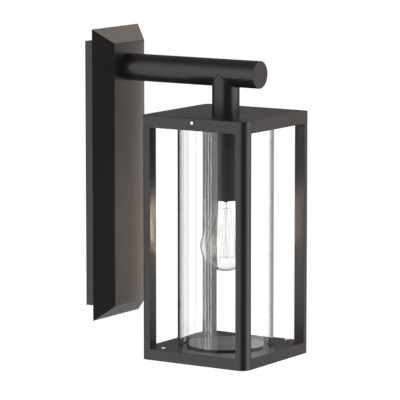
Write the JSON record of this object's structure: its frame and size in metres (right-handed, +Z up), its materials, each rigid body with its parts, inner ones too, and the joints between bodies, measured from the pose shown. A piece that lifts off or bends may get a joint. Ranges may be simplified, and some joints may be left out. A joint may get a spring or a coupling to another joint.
{
  "type": "outdoor wall lantern",
  "caption": "Outdoor wall lantern: a square post cage round a clear glass tube and screw-in lamp, hung from a round arm on a bevelled wall canopy. The cage slides down for relamping.",
  "frame": {"origin": "on the wall plane at the centre of the back pan, midway between the mounting strap's two slots", "axes": "+X right along the wall as seen by someone facing it, -Y straight out of the wall, +Z up"},
  "size_m": [0.145, 0.2463, 0.379],
  "materials": {
    "cast_black": "satin dark bronze-black powder coat on castings and extrusions",
    "sheet_black": "satin dark bronze-black powder coat on steel",
    "zinc_steel": "zinc-plated steel",
    "bright_steel": "bright stainless steel",
    "green_steel": "green-dyed steel",
    "brass": "bright brass",
    "copper": "bare copper",
    "black_rubber": "matt",
    "porcelain": "white glaze",
    "clear_glass": "clear",
    "bulb_glass": "clear",
    "black_glass": "black vitrite",
    "filament": "lit carbon filament",
    "lead_black": "insulation",
    "lead_white": "insulation",
    "nut_orange": "moulded"
  },
  "bodies": {
    "fixture": {"canopy": "cast_black", "roof_cap": "cast_black", "back_pan": "sheet_black", "arm_tube": "sheet_black", "arm_end_cap": "sheet_black", "arm_plug": "sheet_black", "stem_tube": "sheet_black", "stem_plug": "sheet_black", "socket_cover": "sheet_black", "mounting_strap": "zinc_steel", "arm_nipple": "zinc_steel", "arm_washer": "zinc_steel", "arm_locknut": "zinc_steel", "stem_nipple": "zinc_steel", "stem_washer": "zinc_steel", "stem_locknut": "zinc_steel", "socket_bracket": "zinc_steel", "socket_screws": "zinc_steel", "canopy_screws": "zinc_steel", "pan_screws": "bright_steel", "ground_screw": "green_steel", "socket_shell": "brass", "socket_contact": "brass", "terminal_screws": "brass", "wall_gasket": "black_rubber", "glass_top_gasket": "black_rubber", "socket_body": "porcelain", "lead_black": "lead_black", "lead_white": "lead_white", "ground_lead": "copper", "wire_nuts": "nut_orange"},
    "cage": {"top_frame": "cast_black", "post_front_left": "cast_black", "post_front_right": "cast_black", "post_back_right": "cast_black", "post_back_left": "cast_black", "post_top_screws": "zinc_steel", "post_foot_screws": "zinc_steel", "base_plate": "cast_black", "base_cover": "sheet_black", "base_screws": "bright_steel", "glass_cylinder": "clear_glass", "glass_seat_gasket": "black_rubber"},
    "bulb_carrier": {"bulb_contact": "zinc_steel"},
    "bulb": {"bulb_glass": "bulb_glass", "bulb_screw_cap": "brass", "bulb_insulator": "black_glass", "bulb_stem": "bulb_glass", "bulb_filament": "filament", "bulb_supports": "zinc_steel"},
    "clamp_screw_left": {"clamp_screw_left": "bright_steel"},
    "clamp_screw_right": {"clamp_screw_right": "bright_steel"}
  },
  "joints": [
    {"name": "cage_drop", "type": "slide", "parent": "fixture", "child": "cage", "axis": [0, 0, -1], "range_m": [0, 0.2]},
    {"name": "bulb_feed", "type": "slide", "parent": "fixture", "child": "bulb_carrier", "axis": [0, 0, -1], "range_m": [0, 0.01815]},
    {"name": "bulb_turn", "type": "hinge", "parent": "bulb_carrier", "child": "bulb", "pos_m": [0, -0.1745, -0.02], "axis": [0, 0, -1], "range_deg": [0, 1800]},
    {"name": "clamp_left_back_out", "type": "slide", "parent": "fixture", "child": "clamp_screw_left", "axis": [-1, 0, 0], "range_m": [0, 0.002]},
    {"name": "clamp_right_back_out", "type": "slide", "parent": "fixture", "child": "clamp_screw_right", "axis": [1, 0, 0], "range_m": [0, 0.002]}
  ],
  "couplings": [
    {"joint": "bulb_feed", "follows": "bulb_turn", "m_per_rad": 0.00057757}
  ]
}
